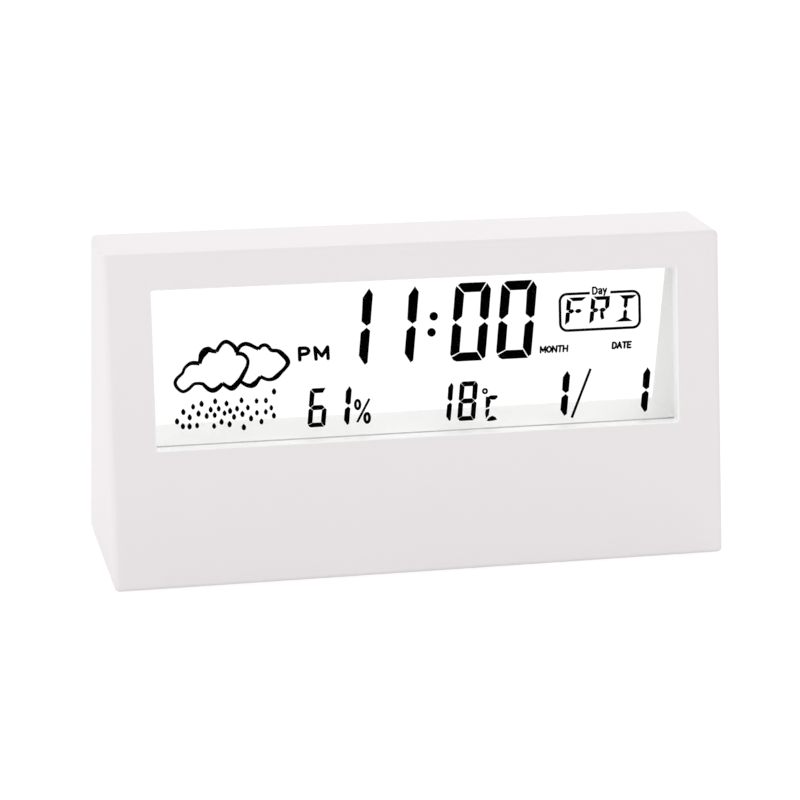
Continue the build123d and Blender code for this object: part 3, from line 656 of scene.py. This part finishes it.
def paint_rim_light(material):
    """Mix the rim's painted highlight, a purer white, into a finish, inside the opening only."""
    tree = material.node_tree
    base = tree.nodes["Principled BSDF"].inputs["Base Color"]
    place = tree.nodes["Texture Coordinate"].outputs["Object"]
    apart = split_place(tree, place)
    behind = tree.nodes.new("ShaderNodeVectorMath")
    behind.operation = "DOT_PRODUCT"
    behind.inputs[1].default_value = into_glass
    link(tree, place, behind.inputs[0])
    face_at = (layer_edge - into_glass * segment_inset).dot(into_glass) - glass_behind_face
    rim_middle = face_at + (rim_start + rim_depth) / 2
    limits = (
        (apart["X"], 0, opening_half_width),
        (apart["Z"], opening_middle, opening_half_height),
        (behind.outputs["Value"], rim_middle, (rim_depth - rim_start) / 2),
    )
    rim_light_mask = 1.0
    for value, middle, half in limits:
        near = calculate(tree, "COMPARE", value, middle, half)
        rim_light_mask = calculate(tree, "MULTIPLY", rim_light_mask, near)
    mixed = mix_colours(tree, rim_light_mask, base.links[0].from_socket, (*rim_painted_light, 1))
    link(tree, mixed, base)


paint_rim_light(finishes["white_shell"])
print("rim whitened to", rim_painted_light)

# %% [markdown]
# Every dark shape is first a list of flat faces in millimetres. Each face becomes a thin closed
# plate, as thick as the liquid crystal layer, less a hair so that it doesn't touch the glass.


# %% From flat shapes to a piece
def make_segments(name, shapes):
    """One piece from flat shapes, each with its points and the faces between them."""
    build = bmesh.new()
    for points, faces in shapes:
        corners = [build.verts.new(on_glass(x, h)) for x, h in points]
        for face in faces:
            build.faces.new([corners[index] for index in face])
    for face in build.faces:
        face.normal_update()
        if face.normal.dot(into_glass) > 0:
            face.normal_flip()
    fronts = list(build.faces)
    grown = bmesh.ops.extrude_face_region(build, geom=fronts, use_keep_orig=True)
    moved = [item for item in grown["geom"] if isinstance(item, bmesh.types.BMVert)]
    bmesh.ops.translate(build, verts=moved, vec=into_glass * plate_thickness)
    backs = [item for item in grown["geom"] if isinstance(item, bmesh.types.BMFace)]
    bmesh.ops.reverse_faces(build, faces=backs)
    mesh = bpy.data.meshes.new(name)
    build.to_mesh(mesh)
    build.free()
    piece = new_object(name, mesh)
    mesh.materials.append(finishes["lcd_segments"])
    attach(piece, "case")
    print(name, "has", len(shapes), "shapes and", len(mesh.polygons), "faces")
    return piece


def polygon(points):
    """A flat shape with one face."""
    return points, [list(range(len(points)))]


# %% [markdown]
# ## Digits
# The time, the readings and the date are seven-segment digits. One digit is drawn once, 16.55 mm
# high, with its mitred corners and gaps, and every other is the same drawing at another size.
# All digits slant to the right as they go up.

# %% The seven segments
digit_height = 16.55
digit_slant = 0.11
segment_points = {
    "top": [(0.55, 16.15), (1.05, 16.55), (6.55, 16.55), (5.55, 14.65), (1.97, 14.65)],
    "upper_left": [(0.2, 15.9), (1.95, 14.25), (1.9, 9.55), (0.62, 8.5), (0, 9.05), (0, 15.3)],
    "upper_right": [(6.92, 16.25), (7.76, 15.1), (7.76, 9.05), (7.02, 8.55), (5.88, 9.45), (5.75, 14.4)],
    "middle": [(0.95, 8.3), (2.1, 9.25), (5.7, 9.25), (6.8, 8.3), (5.7, 7.35), (2.1, 7.35)],
    "lower_left": [(0.64, 8.1), (1.93, 7.2), (1.95, 2.0), (0.3, 1.2), (0.05, 1.6), (0.02, 7.55)],
    "lower_right": [(7.05, 8.0), (7.79, 7.35), (7.76, 0.7), (7.25, 0.35), (5.88, 2.25), (5.9, 7.05)],
    "bottom": [(0.45, 0.8), (2.2, 1.75), (5.85, 1.72), (7.05, 0), (1.5, 0), (0.85, 0.3)],
}
lit_segments = {
    "0": ["top", "upper_left", "upper_right", "lower_left", "lower_right", "bottom"],
    "1": ["upper_right", "lower_right"],
    "6": ["top", "upper_left", "middle", "lower_left", "lower_right", "bottom"],
    "8": list(segment_points),
}
digit_middle = 8.28
half_gap_reach = 1.3
sharpest_corner = 0.5


def corner_step(arrive, leave):
    """The arrow that halves a corner, as long as moves both its sides by 1, but never over 2."""
    both = arrive + leave
    halfway = Vector((-both.y, both.x)).normalized()
    square = Vector((-arrive.y, arrive.x))
    return halfway / max(halfway.dot(square), sharpest_corner)


def bolder(points, amount):
    """A convex outline, clockwise or not, with every side moved outwards."""
    count = len(points)
    middle = sum((Vector(point) for point in points), Vector((0, 0))) / count
    grown = []
    for i in range(count):
        here = Vector(points[i])
        arrive = (here - Vector(points[i - 1])).normalized()
        leave = (Vector(points[(i + 1) % count]) - here).normalized()
        step = corner_step(arrive, leave)
        outwards = 1 if step.dot(here - middle) > 0 else -1
        grown.append(tuple(here + step * amount * outwards))
    return grown


def digit(sign, x, base, height, extra=0.0, parting=0.0):
    """The lit segments of one digit, from its lower left corner."""
    scale = height / digit_height
    shapes = []
    for segment in lit_segments[sign]:
        points = []
        for px, py in segment_points[segment]:
            if segment != "middle" and abs(py - digit_middle) < half_gap_reach:
                py += math.copysign(parting, py - digit_middle)
            points.append((x + (px + py * digit_slant) * scale, base + py * scale))
        shapes.append(polygon(bolder(points, extra) if extra else points))
    return shapes


def oval(x, h, across, up, sides):
    """Points round an oval."""
    angles = [2 * math.pi * i / sides for i in range(sides)]
    return [(x + across * math.cos(angle), h + up * math.sin(angle)) for angle in angles]


def disc(x, h, radius, sides=24):
    """A round dot."""
    return polygon(oval(x, h, radius, radius, sides))


# %% Time
time_plan = (("1", -18.4), ("1", -8.44), ("0", 7.4), ("0", 17.56))
time_base = 15.48
time_extra = 0.07
colon_places = ((4.18, 25.3), (3.61, 21.9))
colon_radius = 0.93

time_shapes = []
for sign, x in time_plan:
    time_shapes += digit(sign, x, time_base, digit_height, time_extra)
time_shapes += [disc(x, h, colon_radius) for x, h in colon_places]
time_digits = make_segments("time_digits", time_shapes)
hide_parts("lcd_crystal_layer")

# %% [markdown]
# ## Lines
# The rings, the slashes, the day's frame and the clouds are lines with a width. A line is a ribbon
# of four-sided faces: at each point it steps half its width to both sides, and in a corner it steps
# along the line that halves the corner, a little further, so that the ribbon keeps its width.


# %% A line with a width
def ribbon(points, widths, closed=False):
    """A ribbon along points, with one width, or one for each point."""
    count = len(points)
    if not hasattr(widths, "__len__"):
        widths = [widths] * count
    rims = []
    for i in range(count):
        before = Vector(points[i - 1]) if closed or i else None
        here = Vector(points[i])
        after = Vector(points[(i + 1) % count]) if closed or i < count - 1 else None
        arrive = (here - before).normalized() if before else (after - here).normalized()
        leave = (after - here).normalized() if after else arrive
        step = corner_step(arrive, leave) * widths[i] / 2
        rims += [tuple(here + step), tuple(here - step)]
    steps = range(count if closed else count - 1)
    total = 2 * count
    faces = [[2 * i, 2 * i + 1, (2 * i + 3) % total, (2 * i + 2) % total] for i in steps]
    return rims, faces


def ring(x, h, across, up, width, sides=20):
    """A closed oval line."""
    return ribbon(oval(x, h, across, up, sides), width, closed=True)


# %% [markdown]
# ## Readings
# Humidity at the left and temperature at the right, in small digits with their units. A digit has
# its place, base and height, how much bolder it is than those of the time, and how far its halves
# are parted. The C of the degree sign has four parts of its own.

# %% Readings
reading_digits = (
    ("6", -23.9, 3.1, 8.15, 0.05, 0.1),
    ("1", -18.85, 3.15, 8.15, 0.13, 0.35),
    ("1", 3.34, 2.7, 8.3, 0.06, 0.15),
    ("8", 8.74, 2.7, 8.3, 0.06, 0.1),
)
degree_ring = (15.03, 8.76, 0.45, 0.45, 0.44)
degree_c = [
    [(15.8, 7.45), (16.35, 7.7), (17.6, 7.65), (17.75, 7.4), (17.3, 6.95), (16.65, 6.9),
     (16.15, 7.05)],
    [(15.3, 7.5), (15.7, 7.4), (16.2, 6.6), (15.8, 5.4), (15.2, 5.2), (15.2, 6.25)],
    [(15.2, 4.75), (15.85, 4.85), (15.65, 3.6), (15.15, 3.0), (15.05, 4.05)],
    [(15.4, 2.45), (15.95, 3.05), (16.55, 3.3), (17.2, 2.95), (17.4, 2.55), (16.55, 2.4),
     (15.7, 2.35)],
]
degree_c_extra = 0.1
percent_rings = ((-12.9, 7.36, 0.5, 0.92, 0.6), (-10.93, 4.42, 0.52, 0.95, 0.65))
percent_slash = ((-13.1, 3.6), (-10.3, 8.5))
percent_slash_width = 0.5

readings = [polygon(bolder(part, degree_c_extra)) for part in degree_c]
for values in reading_digits:
    readings += digit(*values)
readings += [ring(*values) for values in (degree_ring, *percent_rings)]
readings.append(ribbon(percent_slash, percent_slash_width))
make_segments("readings", readings)

# %% Date
date_plan = (("1", 28.5, 2.62), ("1", 46.62, 2.46))
date_height = 9.35
date_extra = 0.23
date_parting = 0.4
date_slash = ((34.22, 2.0), (38.67, 12.38))
date_slash_width = 0.56

date_shapes = []
for sign, x, base in date_plan:
    date_shapes += digit(sign, x, base, date_height, date_extra, date_parting)
date_shapes.append(ribbon(date_slash, date_slash_width))
make_segments("date", date_shapes)

# %% [markdown]
# ## Words
# The small words are letters in a box one unit high, drawn as with a round pen: each letter is one
# or more lines, given from its lower left corner, and each straight part of a line is a stroke with
# round ends. Strokes that meet overlap, which rounds the corners.

# %% Letters
letters = {
    "A": (0.8, [[(0, 0), (0.4, 1), (0.8, 0)], [(0.18, 0.36), (0.62, 0.36)]]),
    "D": (0.75, [[(0, 0), (0, 1), (0.42, 1), (0.72, 0.75), (0.72, 0.25), (0.42, 0), (0, 0)]]),
    "E": (0.65, [[(0.65, 0), (0, 0), (0, 1), (0.65, 1)], [(0, 0.5), (0.52, 0.5)]]),
    "H": (0.75, [[(0, 0), (0, 1)], [(0.75, 0), (0.75, 1)], [(0, 0.5), (0.75, 0.5)]]),
    "M": (0.95, [[(0.06, 0), (0, 1), (0.5, 0.25), (0.93, 1), (0.95, 0)]]),
    "N": (0.75, [[(0, 0), (0, 1), (0.75, 0), (0.75, 1)]]),
    "O": (0.8, [[(0.4, 0), (0.1, 0.2), (0, 0.5), (0.1, 0.8), (0.4, 1), (0.7, 0.8), (0.8, 0.5),
                 (0.7, 0.2), (0.4, 0)]]),
    "P": (0.68, [[(0, 0), (0, 1), (0.42, 1), (0.6, 0.92), (0.68, 0.74), (0.6, 0.56), (0.42, 0.48),
                  (0, 0.46)]]),
    "T": (0.75, [[(0, 1), (0.75, 1)], [(0.375, 1), (0.375, 0)]]),
    "a": (0.55, [[(0.05, 0.68), (0.3, 0.76), (0.5, 0.66), (0.52, 0)],
                 [(0.52, 0.42), (0.15, 0.36), (0.05, 0.16), (0.2, 0), (0.5, 0.12)]]),
    "y": (0.56, [[(0, 0.76), (0.3, 0.14)], [(0.56, 0.76), (0.14, -0.25)]]),
}


def arc(x, h, radius, first, sweep, turns):
    """Points on an arc, from an angle on, with both ends."""
    angles = [first + sweep * i / turns for i in range(turns + 1)]
    return [(x + radius * math.cos(angle), h + radius * math.sin(angle)) for angle in angles]


def pen_stroke(start, end, line, turns=5):
    """A straight stroke with round ends."""
    along = Vector(end) - Vector(start)
    square = math.atan2(along.y, along.x) + math.pi / 2
    points = arc(*start, line / 2, square, math.pi, turns)
    points += arc(*end, line / 2, square + math.pi, math.pi, turns)
    return polygon(points)


def word(text, x, base, height, width, line, slant, gap):
    """A word in pen strokes, fitted to its width, with its gaps in the letters' own units."""
    total = sum(letters[sign][0] for sign in text) + gap * (len(text) - 1)
    across = width / total
    shapes = []
    for sign in text:
        advance, strokes = letters[sign]
        for stroke in strokes:
            points = [
                (x + px * across + py * height * slant, base + py * height) for px, py in stroke
            ]
            shapes += [pen_stroke(start, end, line) for start, end in zip(points, points[1:])]
        x += (advance + gap) * across
    return shapes


word_plan = (
    ("PM", -25.07, 17.46, 2.43, 6.1, 0.78, 0.0, 0.455),
    ("MONTH", 27.48, 16.4, 1.26, 6.02, 0.39, 0.1, 0.28),
    ("DATE", 43.67, 16.55, 1.23, 4.1, 0.42, 0.1, 0.28),
    ("Day", 39.5, 28.44, 1.42, 3.04, 0.37, 0.0, 0.28),
)
words = [shape for values in word_plan for shape in word(*values)]
make_segments("words", words)

# %% [markdown]
# ## Day
# The day stands in a frame with round corners that is open where its title stands. Its letters
# have fourteen possible segments each, and only the straight ones and one short leg are lit.


# %% Frame round the day
def rounded_line(left, right, low, high, radius, gap_left, gap_right, turns=6):
    """Points round a frame, from one side of the gap in its top edge to the other."""
    centres = [
        (left + radius, high - radius),
        (left + radius, low + radius),
        (right - radius, low + radius),
        (right - radius, high - radius),
    ]
    quarter = math.pi / 2
    points = [(gap_left, high)]
    for corner, (x, h) in enumerate(centres, start=1):
        points += arc(x, h, radius, corner * quarter, quarter, turns)
    return points + [(gap_right, high)]


frame_sides = (32.08, 49.95, 20.85, 28.68)
frame_radius = 1.55
frame_gap = (38.83, 43.42)
frame_width = 0.58
frame_points = rounded_line(*frame_sides, frame_radius, *frame_gap)
print("frame round the day has", len(frame_points), "points")

# %% Letters of the day
day_segments = {
    "top": [(0.6, 5.5), (3.95, 5.5), (3.2, 4.95), (1.3, 4.95)],
    "upper_left": [(0.05, 5.1), (0.75, 4.7), (0.7, 3.15), (0.3, 2.95), (0.05, 3.1)],
    "upper_right": [(3.95, 5.15), (3.95, 3.35), (3.5, 2.95), (3.3, 3.2), (3.3, 4.75)],
    "middle_left": [(0.6, 2.65), (0.95, 2.95), (1.35, 2.95), (1.6, 2.65), (1.25, 2.35), (0.85, 2.35)],
    "middle_right": [(2.1, 2.65), (2.45, 2.95), (2.95, 2.95), (3.25, 2.65), (2.85, 2.35), (2.4, 2.35)],
    "lower_left": [(0.05, 2.2), (0.35, 2.35), (0.7, 2.1), (0.7, 0.55), (0.05, 0.05)],
    "leg": [(2.35, 2.15), (2.75, 2.0), (3.05, 0.85), (2.65, 0.75), (2.4, 1.3)],
    "bottom": [(0.1, 0), (1.5, 0.65), (2.35, 0.65), (3.5, 0)],
    "upper_middle": [(1.6, 4.85), (2.15, 4.85), (2.15, 3.2), (1.85, 2.95), (1.6, 3.2)],
    "lower_middle": [(1.65, 2.1), (1.95, 2.35), (2.2, 2.1), (2.2, 0.75), (1.7, 0.75)],
}
day_letters = {
    "F": ["top", "upper_left", "middle_left", "middle_right", "lower_left"],
    "R": ["top", "upper_left", "upper_right", "middle_left", "middle_right", "lower_left", "leg"],
    "I": ["top", "upper_middle", "lower_middle", "bottom"],
}
day_plan = (("F", 33.2), ("R", 38.65), ("I", 44.55))
day_base = 22.3
day_extra = 0.15
day_shapes = [ribbon(frame_points, frame_width)]
for sign, x in day_plan:
    for segment in day_letters[sign]:
        points = [(x + px + py * digit_slant, day_base + py) for px, py in day_segments[segment]]
        day_shapes.append(polygon(bolder(points, day_extra)))
make_segments("day", day_shapes)

# %% [markdown]
# ## Clouds
# The weather sign is two clouds, drawn as if with a broad pen: the line swells on the shoulders
# and under the bellies. Each lobe is a smooth curve through a few points, and each point has its
# own width. Lobes meet in sharp notches, so every lobe is a curve of its own.


# %% A smooth line through points
def smooth(marks, steps=4):
    """Points and widths of a smooth line through marks of (x, h, width)."""
    ends = [marks[0]] + list(marks) + [marks[-1]]
    line = []
    for i in range(1, len(ends) - 2):
        for step in range(steps):
            t = step / steps
            mark = []
            for a, b, c, d in zip(*ends[i - 1:i + 3]):
                curve = 2 * b + (c - a) * t + (2 * a - 5 * b + 4 * c - d) * t**2
                mark.append((curve + (3 * b - a - 3 * c + d) * t**3) / 2)
            line.append(mark)
    line.append(list(marks[-1]))
    return [(x, h) for x, h, _ in line], [width for _, _, width in line]


# %% Clouds
front_cloud = [
    [(-46.4, 17.75, 0.65), (-47.7, 17.95, 0.7), (-48.7, 17.7, 0.55), (-49.65, 16.85, 0.45),
     (-50.1, 15.9, 0.45), (-51.3, 14.85, 0.5), (-51.7, 13.85, 0.55), (-51.15, 12.75, 0.52),
     (-50.1, 12.05, 0.5), (-48.95, 12.5, 0.5), (-47.85, 13.45, 0.48), (-46.95, 13.6, 0.48),
     (-45.9, 13.45, 0.55), (-45.4, 12.95, 0.65), (-44.55, 12.2, 0.75), (-43.6, 12.0, 0.9),
     (-42.6, 12.5, 0.8), (-41.7, 13.35, 0.6)],
    [(-46.4, 17.7, 0.65), (-46.15, 18.7, 0.85), (-45.75, 19.6, 1.3), (-45.1, 20.3, 1.35),
     (-44.35, 20.6, 1.0), (-43.6, 20.25, 0.7), (-42.7, 20.1, 0.65)],
    [(-42.75, 20.05, 0.6), (-42.15, 21.0, 0.6), (-41.4, 21.8, 0.63), (-40.6, 22.05, 0.65),
     (-39.65, 21.6, 0.68), (-38.8, 20.7, 0.75), (-38.45, 19.75, 0.7)],
    [(-38.7, 19.45, 0.68), (-37.45, 19.35, 0.65), (-36.6, 18.75, 0.6), (-36.15, 17.8, 0.52),
     (-36.4, 16.55, 0.58), (-37.15, 15.2, 0.75), (-38.0, 13.85, 0.85), (-39.1, 12.65, 1.05),
     (-39.85, 12.25, 0.95), (-40.7, 12.6, 0.7), (-41.75, 13.4, 0.6)],
]
back_cloud = [
    [(-38.4, 19.95, 0.62), (-37.75, 20.9, 0.65), (-36.95, 21.35, 0.68), (-36.15, 21.35, 0.7),
     (-35.3, 21.0, 0.65), (-34.6, 20.6, 0.6), (-33.8, 20.2, 0.6)],
    [(-33.85, 20.15, 0.58), (-33.2, 20.8, 0.58), (-32.4, 20.95, 0.6), (-31.75, 20.6, 0.6),
     (-31.1, 19.8, 0.6), (-30.0, 19.65, 0.62), (-29.25, 19.3, 0.8), (-28.45, 18.5, 0.88),
     (-27.8, 17.7, 0.88), (-27.65, 16.85, 0.8), (-28.3, 15.9, 0.62), (-29.1, 15.15, 0.68),
     (-30.05, 14.3, 0.85), (-30.95, 13.75, 0.65), (-32.0, 13.65, 0.55), (-32.9, 14.0, 0.55),
     (-33.65, 14.4, 0.58)],
    [(-33.6, 14.35, 0.58), (-34.3, 13.5, 0.75), (-35.05, 12.8, 1.05), (-35.85, 12.55, 0.8),
     (-36.8, 12.85, 0.68), (-37.7, 13.45, 0.55)],
]
pen_extra = 0.2
cloud_shapes = []
for lobe in front_cloud + back_cloud:
    line, widths = smooth(lobe)
    cloud_shapes.append(ribbon(line, [width + pen_extra for width in widths]))
make_segments("clouds", cloud_shapes)

# %% [markdown]
# ## Rain
# The rain is one drop, repeated. Its places are the corners of a mesh without faces. Geometry Nodes
# put a drop on each, a little larger or smaller by chance, and turn the result into a plain mesh.
# The seed is fixed, so it rains the same way each time.

# %% One drop and its places
drop_width = 0.9
drop_height = 1.3
drop_sides = 14
tip_narrowing = 0.55
smallest_drop = 0.93
largest_drop = 1.07
rain_seed = 3
rain_places = [
    (-51.6, 5.9), (-50.4, 4.8), (-50.2, 7.8), (-49.0, 4.7), (-48.9, 6.6), (-48.1, 8.8), (-47.4, 4.8),
    (-47.0, 7.3), (-46.3, 9.3), (-45.3, 6.7), (-44.4, 8.0), (-43.8, 4.5), (-43.6, 6.8), (-43.4, 9.7),
    (-42.7, 8.1), (-42.2, 5.3), (-41.5, 7.1), (-41.0, 9.1), (-40.5, 4.7), (-40.3, 7.5), (-39.5, 6.2),
    (-38.8, 7.9), (-37.8, 9.6), (-37.7, 6.7), (-37.5, 3.9), (-36.5, 8.0), (-35.9, 5.7), (-34.6, 6.8),
    (-34.6, 9.3), (-33.7, 4.9), (-32.7, 6.9), (-32.6, 9.3), (-31.5, 7.7), (-31.0, 6.0), (-30.8, 11.1),
]


def drop_points():
    """The outline of a drop with its tip up, round the origin, in millimetres."""
    points = []
    for i in range(drop_sides):
        angle = 2 * math.pi * i / drop_sides + math.pi / 2
        narrow = 1 - tip_narrowing * max(math.sin(angle), 0) ** 2
        points.append((math.cos(angle) * drop_width / 2 * narrow, math.sin(angle) * drop_height / 2))
    return points


origin = on_glass(0, 0)
front_rim = [on_glass(x, h) - origin for x, h in drop_points()]
plate_depth = into_glass * plate_thickness
rear_rim = [corner + plate_depth for corner in front_rim]
drop_faces = [list(range(drop_sides)), list(range(2 * drop_sides - 1, drop_sides - 1, -1))]
for i in range(drop_sides):
    j = (i + 1) % drop_sides
    drop_faces.append([j, i, i + drop_sides, j + drop_sides])
drop_mesh = plain_mesh("one_drop", front_rim + rear_rim, drop_faces)
drop_source = bpy.data.objects.new("one_drop", drop_mesh)
places_mesh = plain_mesh("rain_places", [on_glass(x, h) for x, h in rain_places], [])
print("drop outline has", drop_sides, "points, and rains at", len(rain_places), "places")


# %% Let it rain
rain_sockets = {
    "Drop": "NodeSocketObject",
    "Smallest": number,
    "Largest": number,
    "Seed": "NodeSocketInt",
    "Finish": "NodeSocketMaterial",
}
geometry = "NodeSocketGeometry"


def rain_tree():
    """A drop on each point: named inputs for the drop, its sizes, the seed and the finish."""
    tree = bpy.data.node_groups.new("rain", "GeometryNodeTree")
    tree.interface.new_socket("Geometry", in_out="INPUT", socket_type=geometry)
    sockets = {}
    for label, kind in rain_sockets.items():
        socket = tree.interface.new_socket(label, in_out="INPUT", socket_type=kind)
        sockets[label] = socket.identifier
    tree.interface.new_socket("Geometry", in_out="OUTPUT", socket_type=geometry)
    start = tree.nodes.new("NodeGroupInput")
    end = tree.nodes.new("NodeGroupOutput")
    source = tree.nodes.new("GeometryNodeObjectInfo")
    chance = tree.nodes.new("FunctionNodeRandomValue")
    place = tree.nodes.new("GeometryNodeInstanceOnPoints")
    realize = tree.nodes.new("GeometryNodeRealizeInstances")
    paint = tree.nodes.new("GeometryNodeSetMaterial")
    sizes = [socket for socket in chance.inputs if socket.type == "VALUE"]
    size = [socket for socket in chance.outputs if socket.type == "VALUE"][0]
    link(tree, start.outputs["Smallest"], sizes[0])
    link(tree, start.outputs["Largest"], sizes[1])
    link(tree, start.outputs["Seed"], chance.inputs["Seed"])
    link(tree, start.outputs["Drop"], source.inputs["Object"])
    link(tree, start.outputs["Geometry"], place.inputs["Points"])
    link(tree, source.outputs["Geometry"], place.inputs["Instance"])
    link(tree, size, place.inputs["Scale"])
    link(tree, place.outputs["Instances"], realize.inputs["Geometry"])
    link(tree, realize.outputs["Geometry"], paint.inputs["Geometry"])
    link(tree, start.outputs["Finish"], paint.inputs["Material"])
    link(tree, paint.outputs["Geometry"], end.inputs["Geometry"])
    return tree, sockets


tree, sockets = rain_tree()
rain = new_object("rain_drops", places_mesh)
shower = rain.modifiers.new("rain", "NODES")
shower.node_group = tree
rain_values = {
    "Drop": drop_source,
    "Smallest": smallest_drop,
    "Largest": largest_drop,
    "Seed": rain_seed,
    "Finish": finishes["lcd_segments"],
}
for label, value in rain_values.items():
    shower[sockets[label]] = value
bpy.context.view_layer.update()
evaluated = rain.evaluated_get(bpy.context.evaluated_depsgraph_get())
rain_mesh = bpy.data.meshes.new_from_object(evaluated)
rain.modifiers.remove(shower)
rain.data = rain_mesh
bpy.data.objects.remove(drop_source)
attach(rain, "case")
print("drops:", len(rain_mesh.polygons) // (drop_sides + 2))
